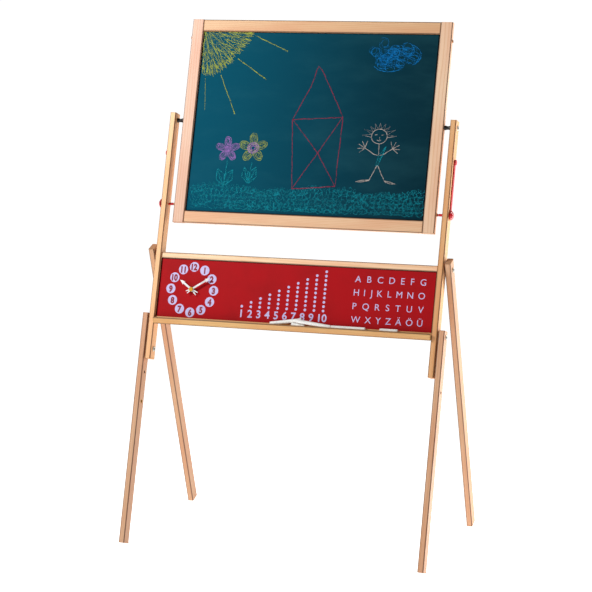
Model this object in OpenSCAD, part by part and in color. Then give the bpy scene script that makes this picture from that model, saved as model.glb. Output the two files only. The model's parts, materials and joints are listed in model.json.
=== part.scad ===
// Folding easel for children: a flip-over board hung between two leaning posts,
// a learning panel with a clock and a chalk tray below it, and two folding rear legs.
// Millimetres, +Z up. The easel faces -Y, and its origin is the middle of its
// footprint at floor level.
//
// The front frame is drawn upright in leaf axes and then leaned back as one piece:
// X across, Y the depth behind the front faces of the posts, Z the distance up the
// lean from the front edge of the feet.

/* [Laths] */
// Thickness of every lath
lath_t = 14; // [12:0.5:16]
// Width of every lath
lath_w = 28; // [26:0.5:30]
// Radius of the eased long edges
edge_r = 2.4; // [1.5:0.1:3]

/* [Stance] */
// Lean of the front frame from the vertical
lean = 17.05; // [14:0.05:20]
// Lean of the rear legs from the vertical
rear_lean = 19.15; // [17:0.05:22]
// Distance between the inner faces of the posts
span = 660; // [600:5:720]

/* [Posts and legs] */
// Lower end of the posts
post_low = 424.5; // [415:0.5:435]
// Upper end of the posts
post_top = 1002; // [1000:1:1010]
// Upper end of the front legs
leg_top = 530; // [528:1:536]
// Gap between a post and its front leg
leg_gap = 2; // [1.5:0.1:2.5]
// Height of the leg bolts that also hold the tray
upper_bolt_s = 516; // [514:0.5:518]
// Height of the leg bolts that are put in from the inside
lower_bolt_s = 448; // [444:1:452]
// How far the legs move when they are set to the taller height
height_step = 122.5; // [118:0.5:126]

/* [Rear legs] */
// Height of the rear leg pivots
pivot_s = 667.5; // [666:0.5:668]
// Depth of the rear leg pivots
pivot_d = 18.5; // [17:0.5:20]
// Gap between a post and its rear leg
rear_gap = 3; // [2.7:0.1:3.5]
// Length of a rear leg above its pivot
rear_stub = 21; // [18:0.5:26]

/* [Flip board] */
// Width of the board over its stiles
board_w = 628; // [560:1:630]
// Height of the board
board_h = 482; // [460:1:500]
// Height of the axle that the board turns on
axle_s = 986; // [980:1:988]
// Depth of the chalkboard behind the front of its frame
board_recess = 4; // [3:0.5:5]
// Thickness of each of the two boards
sheet_t = 3; // [2.5:0.1:3.5]

/* [Locks] */
// Height of the lock pins
lock_s = 788; // [780:1:796]
// Diameter of a lock pin
lock_pin_d = 6; // [5.5:0.1:6.5]
// Diameter of the knob on a lock pin
knob_d = 21; // [18:0.5:26]
// Height of the knob
knob_h = 7; // [5:0.5:10]
// How far the catch bushes stand out of the board's sides
catch_out = 2.2; // [1.5:0.1:4]
// Length of the strap that keeps a lock pin with its post
strap_len = 120; // [100:1:150]

/* [Learning panel] */
// Underside of the panel's top rail
rail_s = 659.5; // [658:0.5:661]
// Depth of the front of the top rail
rail_d = 4.5; // [3:0.5:6]
// Depth of the front of the panel
panel_d = 6.5; // [6.5:0.5:12]
// Thickness of the panel
panel_t = 4; // [3:0.5:5]

/* [Chalk tray] */
// Height of the front lip of the tray, measured up the lean
tray_s = 519; // [518:0.5:521]
// Distance of the tray's front from the front faces of the posts
tray_out = 8.8; // [6:0.1:10]
// Depth of the tray from front to back
tray_depth = 32; // [30:0.5:34]
// Height of the tray's front
tray_h = 15; // [14:0.5:18]
// Radius of the chalk groove
groove_r = 5.5; // [5:0.1:6]

/* [Clock] */
// Distance of the clock from the middle of the panel
clock_x = 246.5; // [240:0.5:250]
// Height of the clock's centre
clock_s = 589.5; // [588:0.5:592]
// Length of the hour hand
hour_len = 37; // [30:1:40]
// Length of the minute hand
minute_len = 52; // [44:1:54]
// Thickness of a clock hand
hand_t = 1.4; // [1:0.1:1.8]
// Hour that the clock shows
clock_hour = 10; // [0:1:11]
// Minutes past the hour that the clock shows
clock_minute = 9.5; // [0:0.5:59]

/* [Chalk] */
// Diameter of a stick of chalk
chalk_d = 8.4; // [8:0.1:8.6]
// Length of a whole stick of chalk
chalk_len = 80; // [70:1:85]

/* [Hidden] */

$fn = 48;

// colours
pine = "#E9C49A";
pine_dark = "#D9A868";
steel = "#8C9296";

// across the easel, measured from its middle
post_in = span / 2;
post_out = post_in + lath_t;
leg_in = post_out + leg_gap;
leg_out = leg_in + lath_t;
rear_in = post_out + rear_gap;
rear_out = rear_in + lath_t;
mid_d = lath_w / 2;

// fasteners
bolt_r = 3;
bolt_clear = 0.05;
head_r = 6;
head_h = 2.2;
socket_r = 3;
socket_depth = 1.4;
insert_r = 5;
insert_len = 13;
upper_bolt_tip = 300;
lower_bolt_len = 26;
play = 0.3;
spare_hole_r = 3.3;

// the rear legs reach the floor, and the footprint is centred on the origin
floor_lift = lath_w * sin(lean);
pivot_z = pivot_s * cos(lean) - pivot_d * sin(lean) + floor_lift;
pivot_y = pivot_s * sin(lean) + pivot_d * cos(lean);
rear_len = (pivot_z - lath_w / 2 * sin(rear_lean)) / cos(rear_lean);
footprint = pivot_y + rear_len * sin(rear_lean) + lath_w / 2 * cos(rear_lean);

// flip board
board_in = board_w / 2;
opening_half = board_in - lath_w;
board_low = axle_s - board_h / 2;
board_high = axle_s + board_h / 2;
board_front = mid_d - lath_t / 2;
sheet_inset = 5.5;
sheet_slot = sheet_inset + 0.5;
bush_r = 4.5;
bush_len = 18;
dowel_r = 2.5;
dowel_half = 14;
dowel_spread = 5;
catch_r = 3.6;
catch_bore_r = 2.4;
catch_depth = 15;
spacer_r = 5.2;
spacer_waist = 4.1;

// lock pins and straps
lock_bore_clear = 0.08;
lock_tip_gap = 0.4;
strap_t = 2.7;
strap_boss_t = 4.8;
strap_w = 10;
strap_ring_r = 8.5;
strap_boss_r = 6;
strap_screw_r = 1.7;
strap_head_r = 3.6;
strap_head_h = 1.6;
strap_screw_len = 11;

// tray, in its own level axes with the front lip's top edge at the origin
groove_y = 9.5;
groove_rise = 1.2;
panel_slot = 0.1;
panel_low = 522.5;
panel_up = 663.5;

// clock, as depths in front of the panel
spindle_r = 3;
collar_r = 6.2;
collar_h = 3;
cap_r = 5.2;
cap_h = 2;
hand_gap = 0.4;
hour_d = panel_d - collar_h - hand_gap - hand_t;
minute_d = hour_d - hand_gap - hand_t;
cap_d = minute_d - hand_gap;
minute_angle = clock_minute * 6;
hour_angle = clock_hour * 30 + clock_minute / 2;

// points of an arc of radius r about c, from angle a to angle b in n steps
function arc(c, r, a, b, n) = [for (k = [0:n]) c + r * [cos(a + (b - a) * k / n), sin(a + (b - a) * k / n)]];

// outline of a lath's section, a by b, with its corners eased
module eased(a, b, r = edge_r) {
    polygon([for (q = [0:3])
        for (p = arc([(a / 2 - r) * (q == 0 || q == 3 ? 1 : -1), (b / 2 - r) * (q < 2 ? 1 : -1)],
                     r, q * 90, q * 90 + 90, 5)) p]);
}

// moves leaf axes to the leaning front frame
module in_leaf() {
    translate([0, -footprint / 2, floor_lift])
        rotate([-lean, 0, 0])
            children();
}

// moves axes with the rear leg's pivot at the origin and Z up along the leg
module on_rear_leg() {
    translate([0, pivot_y - footprint / 2, pivot_z])
        rotate([rear_lean, 0, 0])
            children();
}

// draws its children on the right, or mirrored on the left
module on_side(side) {
    scale_x = side < 0 ? 1 : 0;
    mirror([scale_x, 0, 0])
        children();
}

// draws its children on both sides
module both_sides() {
    for (side = [-1, 1])
        on_side(side)
            children();
}

// cylinder along X from x0 to x1 at depth d and height s
module rod_x(x0, x1, d, s, r) {
    translate([x0, d, s])
        rotate([0, 90, 0])
            cylinder(r = r, h = x1 - x0);
}

// round plate along X whose outer rim is bevelled
module head_x(x, d, s, r, h) {
    bevel = h / 3;
    translate([x, d, s])
        rotate([0, 90, 0]) {
            cylinder(r = r, h = h - bevel);
            translate([0, 0, h - bevel])
                cylinder(r1 = r, r2 = r - bevel, h = bevel);
        }
}

// six-sided key socket in the outer face of a head that ends at x
module socket_x(x, d, s) {
    translate([x - socket_depth, d, s])
        rotate([0, 90, 0])
            cylinder(r = socket_r, h = socket_depth + 1, $fn = 6);
}

// bolt along X: its shank runs from tip to seat and its head stands out of seat
module bolt_x(tip, seat, d, s) {
    difference() {
        union() {
            rod_x(tip, seat + head_h / 2, d, s, bolt_r);
            head_x(seat, d, s, head_r, head_h);
        }
        socket_x(seat + head_h, d, s);
    }
}

// ring along X from x0 to x1
module ring_x(x0, x1, d, s, r_out, r_in) {
    difference() {
        rod_x(x0, x1, d, s, r_out);
        rod_x(x0 - 1, x1 + 1, d, s, r_in);
    }
}

// ---------------------------------------------------------------- front frame

module post() {
    difference() {
        translate([(post_in + post_out) / 2, mid_d, post_low])
            linear_extrude(post_top - post_low)
                eased(lath_t, lath_w);
        rod_x(post_in - 1, post_out + 1, mid_d, axle_s, bolt_r + bolt_clear);
        rod_x(post_in - 1, post_out + 1, mid_d, lock_s, lock_pin_d / 2 + lock_bore_clear);
        rod_x(post_in - 1, post_out + 1, pivot_d, pivot_s, bolt_r + bolt_clear);
        rod_x(post_in - 1, post_out + 1, mid_d, upper_bolt_s, bolt_r + bolt_clear);
        rod_x(post_in - 1, post_out + 1, mid_d, lower_bolt_s, bolt_r + bolt_clear);
        rod_x(post_out - strap_screw_len, post_out + 1, mid_d, lock_s + strap_len, strap_screw_r);
    }
}

module post_left() {
    color(pine)
        in_leaf()
            on_side(-1)
                post();
}

module post_right() {
    color(pine)
        in_leaf()
            on_side(1)
                post();
}

module front_leg() {
    difference() {
        translate([(leg_in + leg_out) / 2, mid_d, 0])
            linear_extrude(leg_top)
                eased(lath_t, lath_w);
        rod_x(leg_in - 1, leg_out + 1, mid_d, upper_bolt_s, bolt_r + bolt_clear);
        rod_x(leg_in - 1, leg_out + 1, mid_d, upper_bolt_s - height_step, spare_hole_r);
        for (s = [lower_bolt_s, lower_bolt_s - height_step])
            rod_x(leg_in - 1, leg_in + insert_len, mid_d, s, insert_r);
    }
}

module front_leg_left() {
    color(pine)
        in_leaf()
            on_side(-1)
                front_leg();
}

module front_leg_right() {
    color(pine)
        in_leaf()
            on_side(1)
                front_leg();
}

module leg_washers() {
    color(steel)
        in_leaf()
            both_sides()
                for (s = [lower_bolt_s, upper_bolt_s])
                    ring_x(post_out, leg_in, mid_d, s, head_r, bolt_r + bolt_clear);
}

module leg_upper_bolts() {
    color(steel)
        in_leaf()
            both_sides()
                bolt_x(upper_bolt_tip, leg_out, mid_d, upper_bolt_s);
}

module leg_lower_bolts() {
    color(steel)
        in_leaf()
            both_sides()
                translate([2 * post_in, 0, 0])
                    mirror([1, 0, 0])
                        bolt_x(post_in - lower_bolt_len, post_in, mid_d, lower_bolt_s);
}

module leg_insert_nuts() {
    color(steel)
        in_leaf()
            both_sides()
                for (s = [lower_bolt_s, lower_bolt_s - height_step])
                    ring_x(leg_in, leg_in + insert_len, mid_d, s, insert_r, bolt_r + bolt_clear);
}

module rail_insert_nuts() {
    color(steel)
        in_leaf()
            both_sides() {
                ring_x(post_in - insert_len, post_in, mid_d, upper_bolt_s, insert_r, bolt_r + bolt_clear);
                ring_x(post_in - insert_len, post_in, pivot_d, pivot_s, insert_r, bolt_r + bolt_clear);
            }
}

// holes for a bolt and its insert nut in the end of a rail
module rail_end_hole(d, s) {
    both_sides() {
        rod_x(upper_bolt_tip - 1, post_in + 1, d, s, bolt_r + bolt_clear);
        rod_x(post_in - insert_len, post_in + 1, d, s, insert_r);
    }
}

module panel_top_rail() {
    color(pine)
        in_leaf()
            difference() {
                translate([-post_in, rail_d + lath_w / 2, rail_s + lath_t / 2])
                    rotate([0, 90, 0])
                        linear_extrude(span)
                            eased(lath_t, lath_w);
                rail_end_hole(pivot_d, pivot_s);
                panel_slab(panel_slot);
            }
}

// ---------------------------------------------------------------- panel and tray

// the panel's slab, grown by gap so that it can also cut its grooves
module panel_slab(gap) {
    translate([-post_in - gap, panel_d - gap, panel_low - gap])
        cube([span + 2 * gap, panel_t + 2 * gap, panel_up - panel_low + 2 * gap]);
}

module learning_panel() {
    color("#AC1E1E")
        in_leaf()
            difference() {
                panel_slab(0);
                clock_bore(-1);
            }
}

// hole for the clock's spindle, which starts ahead of the panel by lead
module clock_bore(lead) {
    translate([-clock_x, panel_d + lead, clock_s])
        rotate([-90, 0, 0])
            cylinder(r = spindle_r + bolt_clear, h = panel_t - 2 * lead);
}

// outline of the tray seen from its end: Y back, Z up, front lip's edge at the origin
module tray_outline() {
    r = edge_r;
    polygon(concat(
        arc([r, -r], r, 180, 90, 5),
        arc([tray_depth - r, -r], r, 90, 0, 5),
        arc([tray_depth - r, r - tray_h], r, 0, -90, 5),
        arc([r, r - tray_h], r, -90, -180, 5)));
}

// moves the tray's level axes into leaf axes
module at_tray() {
    translate([0, -tray_out, tray_s])
        rotate([lean, 0, 0])
            children();
}

module chalk_tray() {
    color(pine_dark)
        in_leaf()
            difference() {
                at_tray()
                    translate([-post_in, 0, 0])
                        rotate([90, 0, 90])
                            linear_extrude(span)
                                tray_outline();
                at_tray()
                    rod_x(-post_in - 1, post_in + 1, groove_y, groove_rise, groove_r);
                rail_end_hole(mid_d, upper_bolt_s);
                panel_slab(panel_slot);
            }
}

// one stick of chalk in the tray's level axes, from x along X, turned and tipped
module chalk(x, y, z, len, turn, tip) {
    bevel = 0.6;
    translate([x, y, z])
        rotate([0, 0, turn])
            rotate([0, 90 - tip, 0]) {
                cylinder(r1 = chalk_d / 2 - bevel, r2 = chalk_d / 2, h = bevel);
                translate([0, 0, bevel])
                    cylinder(r = chalk_d / 2, h = len - 2 * bevel);
                translate([0, 0, len - bevel])
                    cylinder(r1 = chalk_d / 2, r2 = chalk_d / 2 - bevel, h = bevel);
            }
}

// height of a stick's axis above the front lip when it lies in the groove
lying = groove_rise - groove_r + chalk_d / 2 + 0.05;

module chalk_sticks() {
    color("white")
        in_leaf()
            at_tray() {
                chalk(98, groove_y, lying, chalk_len, 0, 0);
                chalk(212, groove_y, lying, 41, 0, 0);
                chalk(4, groove_y, lying, 31, 0, 0);
                chalk(-47, groove_y, lying + 0.2, 75, 3.6, 8.7);
                chalk(17.2, 4.9, lying + 10.7, chalk_len, 3.3, -7.6);
            }
}

// ---------------------------------------------------------------- clock

// moves axes with X and Y across the clock's face and Z towards its front
module on_clock(depth) {
    translate([-clock_x, depth, clock_s])
        rotate([90, 0, 0])
            children();
}

module clock_spindle() {
    color("#1A1A1C")
        in_leaf()
            on_clock(panel_d + panel_t + 5) {
                cylinder(r = spindle_r, h = panel_t + 5 + panel_d - cap_d + 0.5);
                translate([0, 0, panel_t + 5])
                    cylinder(r = collar_r, h = collar_h);
                translate([0, 0, panel_t + 5 + panel_d - cap_d])
                    cylinder(r1 = cap_r, r2 = cap_r - 1, h = cap_h);
            }
}

module clock_nut() {
    color(steel)
        in_leaf()
            on_clock(panel_d + panel_t + 3.5)
                difference() {
                    cylinder(r = 6, h = 3.5, $fn = 6);
                    translate([0, 0, -1])
                        cylinder(r = spindle_r, h = 6);
                }
}

// flat arrow-shaped hand that points along +Y from its bore
module hand(len, tail, width, head) {
    difference() {
        union() {
            linear_extrude(hand_t)
                polygon([[-width / 2, 0], [-width / 2, len - head], [-head * 0.42, len - head - 2],
                         [0, len], [head * 0.42, len - head - 2], [width / 2, len - head],
                         [width / 2, 0], [width, -tail], [width - 2, -tail], [0, -tail * 0.42],
                         [2 - width, -tail], [-width, -tail]]);
            cylinder(r = spindle_r + 2.2, h = hand_t);
        }
        translate([0, 0, -1])
            cylinder(r = spindle_r + bolt_clear, h = hand_t + 2);
    }
}

module hour_hand() {
    color("white")
        in_leaf()
            on_clock(hour_d + hand_t)
                rotate([0, 0, -hour_angle])
                    hand(hour_len, 17, 4.6, 11);
}

module minute_hand() {
    color("white")
        in_leaf()
            on_clock(minute_d + hand_t)
                rotate([0, 0, -minute_angle])
                    hand(minute_len, 13, 4, 11);
}

// ---------------------------------------------------------------- flip board

// slot that holds both boards, all round the opening of the frame
module sheet_slot_cut() {
    translate([-opening_half - sheet_slot, board_front + board_recess, board_low + lath_w - sheet_slot])
        cube([2 * (opening_half + sheet_slot), 2 * sheet_t, board_h - 2 * lath_w + 2 * sheet_slot]);
}

// holes for the dowels that join the rails to the stiles
module dowels(r, half) {
    both_sides()
        for (s = [board_low + lath_w / 2, board_high - lath_w / 2])
            for (k = [-1, 1])
                rod_x(opening_half - half, opening_half + half, mid_d, s + k * dowel_spread, r);
}

module board_stile() {
    difference() {
        translate([opening_half + lath_w / 2, mid_d, board_low])
            linear_extrude(board_h)
                eased(lath_w, lath_t);
        sheet_slot_cut();
        dowels(dowel_r, dowel_half);
        rod_x(board_in - bush_len - 1, board_in + 1, mid_d, axle_s, bush_r);
        for (k = [-1, 1])
            rod_x(board_in - catch_depth, board_in + 1, mid_d, axle_s + k * (axle_s - lock_s), catch_r);
    }
}

module board_stile_left() {
    color(pine)
        in_leaf()
            on_side(-1)
                board_stile();
}

module board_stile_right() {
    color(pine)
        in_leaf()
            on_side(1)
                board_stile();
}

// rail of the board's frame with its underside at height s
module board_rail(s) {
    difference() {
        translate([-opening_half, mid_d, s + lath_w / 2])
            rotate([0, 90, 0])
                linear_extrude(2 * opening_half)
                    eased(lath_w, lath_t);
        sheet_slot_cut();
        dowels(dowel_r, dowel_half);
    }
}

module board_rail_top() {
    color(pine)
        in_leaf()
            board_rail(board_high - lath_w);
}

module board_rail_bottom() {
    color(pine)
        in_leaf()
            board_rail(board_low);
}

// one board of the pair, whose front is at depth d
module board_sheet(d) {
    translate([-opening_half - sheet_inset, d, board_low + lath_w - sheet_inset])
        cube([2 * (opening_half + sheet_inset), sheet_t, board_h - 2 * lath_w + 2 * sheet_inset]);
}

module chalkboard() {
    color("#005C70")
        in_leaf()
            board_sheet(board_front + board_recess);
}

module whiteboard() {
    color("#F4F5F2")
        in_leaf()
            board_sheet(board_front + board_recess + sheet_t);
}

module board_dowels() {
    color(pine_dark)
        in_leaf()
            dowels(dowel_r, dowel_half - 0.5);
}

module pivot_bushes() {
    color("#C9A14A")
        in_leaf()
            both_sides()
                ring_x(board_in - bush_len, board_in, mid_d, axle_s, bush_r, bolt_r + bolt_clear);
}

module board_pivot_bolts() {
    color(steel)
        in_leaf()
            both_sides()
                bolt_x(board_in - bush_len, post_out, mid_d, axle_s);
}

// bushes for the lock pins, near both ends of the stiles because the board turns over
module catch_bushes() {
    color("#C8874A")
        in_leaf()
            both_sides()
                for (k = [-1, 1])
                    ring_x(board_in - catch_depth, board_in + catch_out, mid_d,
                           axle_s + k * (axle_s - lock_s), catch_r, catch_bore_r);
}

// waisted spacer between a post and the board
module pivot_spacer() {
    width = post_in - board_in - play;
    translate([post_in, mid_d, axle_s])
        rotate([0, -90, 0])
            rotate_extrude()
                polygon([[bolt_r + bolt_clear, 0], [spacer_r, 0], [spacer_r, width * 0.18],
                         [spacer_waist, width * 0.36], [spacer_waist, width * 0.64],
                         [spacer_r, width * 0.82], [spacer_r, width], [bolt_r + bolt_clear, width]]);
}

module pivot_spacer_left() {
    color("#151515")
        in_leaf()
            on_side(-1)
                pivot_spacer();
}

module pivot_spacer_right() {
    color("#151515")
        in_leaf()
            on_side(1)
                pivot_spacer();
}

// ---------------------------------------------------------------- locks

// pin with a low pointed knob, pulled outwards to free the board
module lock_pin() {
    knob_x = post_out + strap_t + play;
    tip_x = board_in + catch_out + lock_tip_gap;
    translate([knob_x, mid_d, lock_s])
        rotate([0, 90, 0])
            rotate_extrude()
                polygon([[0, tip_x - knob_x], [1.4, tip_x - knob_x], [lock_pin_d / 2, tip_x + 2.5 - knob_x],
                         [lock_pin_d / 2, 0], [knob_d / 2 - 0.6, 0], [knob_d / 2, 0.6], [knob_d / 2, 1.6],
                         [knob_d * 0.28, knob_h * 0.75], [knob_d * 0.13, knob_h * 0.95], [0, knob_h]]);
}

module lock_pin_left() {
    color("#C80A19")
        in_leaf()
            on_side(-1)
                lock_pin();
}

module lock_pin_right() {
    color("#C80A19")
        in_leaf()
            on_side(1)
                lock_pin();
}

// flat strap between the lock pin and the screw that holds it on the post
module lock_strap() {
    difference() {
        union() {
            rod_x(post_out, post_out + strap_t, mid_d, lock_s, strap_ring_r);
            rod_x(post_out, post_out + strap_boss_t, mid_d, lock_s + strap_len, strap_boss_r);
            translate([post_out, mid_d - strap_w / 2, lock_s])
                cube([strap_t, strap_w, strap_len]);
        }
        rod_x(post_out - 1, post_out + strap_t + 1, mid_d, lock_s, lock_pin_d / 2 + play);
        rod_x(post_out - 1, post_out + strap_t + 1, mid_d, lock_s + strap_len, strap_screw_r);
        rod_x(post_out + strap_t, post_out + strap_boss_t + 1, mid_d, lock_s + strap_len,
              strap_head_r + 0.3);
    }
}

module lock_strap_left() {
    color("#C80A19")
        in_leaf()
            on_side(-1)
                lock_strap();
}

module lock_strap_right() {
    color("#C80A19")
        in_leaf()
            on_side(1)
                lock_strap();
}

module strap_screws() {
    color(steel)
        in_leaf()
            both_sides() {
                rod_x(post_out - strap_screw_len, post_out + strap_t + 0.5, mid_d, lock_s + strap_len,
                      strap_screw_r);
                head_x(post_out + strap_t, mid_d, lock_s + strap_len, strap_head_r, strap_head_h);
            }
}

// ---------------------------------------------------------------- rear legs

// lath with square ends, drawn upright with the pivot at the origin
module rear_leg() {
    difference() {
        translate([(rear_in + rear_out) / 2, 0, -rear_len])
            linear_extrude(rear_len + rear_stub)
                eased(lath_t, lath_w);
        rod_x(rear_in - 1, rear_out + 1, 0, 0, bolt_r + bolt_clear);
    }
}

module rear_leg_left() {
    color(pine)
        on_rear_leg()
            on_side(-1)
                rear_leg();
}

module rear_leg_right() {
    color(pine)
        on_rear_leg()
            on_side(1)
                rear_leg();
}

module rear_pivot_washers() {
    color(steel)
        in_leaf()
            both_sides()
                ring_x(post_out, rear_in - play, pivot_d, pivot_s, head_r + 1.5, bolt_r + bolt_clear);
}

module rear_pivot_bolts() {
    color(steel)
        in_leaf()
            both_sides()
                bolt_x(upper_bolt_tip, rear_out + play, pivot_d, pivot_s);
}

post_left();
post_right();
front_leg_left();
front_leg_right();
rear_leg_left();
rear_leg_right();
panel_top_rail();
chalk_tray();
learning_panel();
leg_washers();
leg_upper_bolts();
leg_lower_bolts();
rail_insert_nuts();
leg_insert_nuts();
rear_pivot_bolts();
rear_pivot_washers();
clock_spindle();
clock_nut();
hour_hand();
minute_hand();
board_stile_left();
board_stile_right();
board_rail_top();
board_rail_bottom();
chalkboard();
whiteboard();
board_dowels();
pivot_bushes();
catch_bushes();
board_pivot_bolts();
pivot_spacer_left();
pivot_spacer_right();
lock_pin_left();
lock_pin_right();
lock_strap_left();
lock_strap_right();
strap_screws();
chalk_sticks();
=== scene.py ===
"""Looks of a folding children's easel, built round its packed CAD model."""

import json
import math
import random

import bmesh
import bpy
from bpy.props import FloatProperty, FloatVectorProperty, IntProperty, PointerProperty
from mathutils import Matrix, Vector


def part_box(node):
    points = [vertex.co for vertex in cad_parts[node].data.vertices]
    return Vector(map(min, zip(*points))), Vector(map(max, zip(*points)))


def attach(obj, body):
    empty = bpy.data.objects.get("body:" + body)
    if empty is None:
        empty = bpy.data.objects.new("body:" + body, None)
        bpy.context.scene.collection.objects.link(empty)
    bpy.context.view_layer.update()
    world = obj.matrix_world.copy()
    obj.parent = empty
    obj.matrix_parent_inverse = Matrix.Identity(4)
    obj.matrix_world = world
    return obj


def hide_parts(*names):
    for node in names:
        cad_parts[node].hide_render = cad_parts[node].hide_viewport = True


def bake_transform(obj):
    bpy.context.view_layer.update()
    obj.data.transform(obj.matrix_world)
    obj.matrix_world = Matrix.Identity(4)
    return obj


bl_info = {
    "name": "Children's Easel",
    "version": (1, 0, 0),
    "blender": (4, 5, 0),
    "location": "View3D > Sidebar > Easel",
    "description": "Timber, boards, printed panel, chalk drawings and locks of a folding easel",
    "category": "Object",
}

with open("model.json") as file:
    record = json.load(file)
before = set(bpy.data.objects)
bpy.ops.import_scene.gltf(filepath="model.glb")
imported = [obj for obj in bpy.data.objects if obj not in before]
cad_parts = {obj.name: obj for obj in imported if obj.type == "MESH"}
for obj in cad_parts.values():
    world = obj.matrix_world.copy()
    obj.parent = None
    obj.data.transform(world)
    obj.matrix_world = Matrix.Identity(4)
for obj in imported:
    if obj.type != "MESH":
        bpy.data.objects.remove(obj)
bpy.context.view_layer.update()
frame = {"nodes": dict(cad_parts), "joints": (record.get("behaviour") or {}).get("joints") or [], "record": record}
NODES = frame["nodes"]
JOINTS = {joint["name"]: joint for joint in frame["joints"]}

# The front frame leans back: ACROSS, UP and OUT are its own axes.
OUT = Vector(JOINTS["hour_turn"]["axis"]).normalized()
LEAN = math.asin(OUT.z)
ACROSS = Vector((1, 0, 0))
UP = Vector((0, math.sin(LEAN), math.cos(LEAN)))
MM = 0.001

# Both front legs' spare height holes lie on one line across the easel.
SPARE_HOLE = frame["record"]["mounts"][0]["pos_m"]

# Painted shade: near-black that stands for the shade inside a deep socket.
SOCKET_SHADE = (0.004, 0.004, 0.004)


def srgb(code):
    """Linear colour of a hexadecimal colour code."""
    parts = [int(code[i:i + 2], 16) / 255 for i in (0, 2, 4)]
    return tuple(p / 12.92 if p <= 0.04045 else ((p + 0.055) / 1.055) ** 2.4 for p in parts)


# ------------------------------------------------------------------ settings


def colour(name, description, code):
    """A colour that the user may change."""
    return FloatVectorProperty(name=name, description=description, subtype="COLOR", size=3,
                               min=0, max=1, default=srgb(code))


def length(name, description, default):
    """A length in metres that the user may change."""
    return FloatProperty(name=name, description=description, subtype="DISTANCE", unit="LENGTH",
                         default=default, min=0)


def share(name, description, default):
    """A share between nought and one that the user may change."""
    return FloatProperty(name=name, description=description, subtype="FACTOR",
                         default=default, min=0, max=1)


def strength(name, description, default):
    """A strength or power that the user may change."""
    return FloatProperty(name=name, description=description, min=0, default=default)


class TimberSettings(bpy.types.PropertyGroup):
    """Colours and grain of the laths."""
    early: colour("Early wood", "Pale part of the growth rings", "F0CBA8")
    late: colour("Late wood", "Darker part of the growth rings", "D79C68")
    blush: colour("Heartwood blush", "Warm tone that drifts through some laths", "EBBB98")
    # Painted shade along the rounded edges of every lath.
    edge: colour("Edges", "Rounded edges, where the varnish gathers", "4A2408")
    # End grain colour, also used for the painted gap shadow at the rails' ends.
    end: colour("End grain", "Sawn ends", "8E5C30")
    ring: length("Ring width", "Distance between growth rings", 0.0034)
    ring_strength: share("Ring strength", "How far the late wood shows", 0.42)
    edge_strength: share("Edge strength", "How far the edges darken", 0.75)


class BoardSettings(bpy.types.PropertyGroup):
    """The two writing faces."""
    chalkboard: colour("Chalkboard", "Matt writing paint", "004B60")
    # Painted shade: the chalkboard paint turns darker towards the right, as if lit from the left.
    chalkboard_far: colour("Chalkboard, worn side", "The same paint where it was wiped less", "022A36")
    dust: colour("Chalk dust", "Film of old chalk", "4C8C94")
    dust_strength: share("Dust strength", "How much old chalk is left", 0.08)
    # Painted shade: near-black laid in the recess along the frame's opening, where the frame's shadow falls.
    joint: colour("Joint", "Dark joint between the sheet and its frame", "020303")
    whiteboard: colour("Whiteboard", "Gloss white writing face", "F4F5F2")


class DrawingSettings(bpy.types.PropertyGroup):
    """Chalk drawings on the chalkboard."""
    line: length("Line width", "Width of a chalk line", 0.0030)
    relief: length("Relief", "Thickness of the chalk on the board", 0.00016)
    sun: colour("Sun", "Yellow-green chalk", "B4BE50")
    bloom: colour("Flower", "Lilac chalk", "AE7CCB")
    grass: colour("Grass", "Sea-green chalk", "148C9C")
    house: colour("House", "Crimson chalk", "A02C48")
    figure: colour("Figure", "Pale chalk", "C6B8B0")
    cloud: colour("Cloud", "Blue chalk", "0F78C0")


class PanelSettings(bpy.types.PropertyGroup):
    """The printed learning panel."""
    ground: colour("Panel", "Ground colour of the print", "AE161C")
    ink: colour("Light ink", "Letters, numbers and dots", "CDC4EE")
    numeral: colour("Dark ink", "Numbers on the clock's discs", "8E0C22")
    capital: length("Capital height", "Height of a capital letter", 0.0142)
    number: length("Number height", "Height of the numbers under the counting dots", 0.0172)
    figure: length("Clock figures", "Height of the numbers on the clock's discs", 0.0142)
    disc: length("Disc radius", "Radius of the clock's discs", 0.0113)
    ring: length("Clock radius", "Radius of the ring of discs", 0.0528)
    dot: length("Dot radius", "Radius of the counting dots", 0.0031)
    columns: IntProperty(name="Columns", description="Number of counting columns", default=10, min=1, max=12)


class HardwareSettings(bpy.types.PropertyGroup):
    """Metal and moulded parts."""
    zinc: colour("Zinc", "Plated steel", "C9C2B4")
    # Radius of the painted shade in each bolt head's socket.
    socket: length("Socket radius", "Radius of the dark sockets in the bolt heads", 0.0029)
    brass: colour("Brass", "Bushes, inserts and the clock's cap", "E6B02E")
    black: colour("Black", "Moulded spacers and washers", "060606")
    knob: colour("Knobs", "Red lock pins", "C80A19")
    strap_thickness: length("Strap thickness", "Thickness of a lock strap", 0.0027)
    strap: colour("Straps", "Red lock straps", "D0121F")
    hand: colour("Clock hands", "White moulding", "F6F6F8")
    chalk: colour("Chalk", "Sticks of chalk", "FAFAF6")


class StageSettings(bpy.types.PropertyGroup):
    """Floor, lights and camera."""
    floor: colour("Floor", "Plain pale floor", "F6F6F5")
    glow: strength("Floor glow", "Light that the floor gives by itself", 0.95)
    sky: strength("Fill", "Strength of the even light all round", 0.1)
    key: strength("Key", "Power of the light from the upper left", 42)
    side: strength("Side", "Power of the light from the right", 8)
    lens: FloatProperty(name="Lens", description="Focal length in millimetres", default=125.45, min=1)
    stand: FloatVectorProperty(name="Camera", description="Place of the camera",
                               subtype="TRANSLATION", unit="LENGTH", default=(1.5206, -4.3793, 1.3264))
    aim: FloatVectorProperty(name="Aim", description="Turn of the camera", subtype="EULER",
                             default=(math.radians(80.63), 0, math.radians(19.26)))


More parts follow.
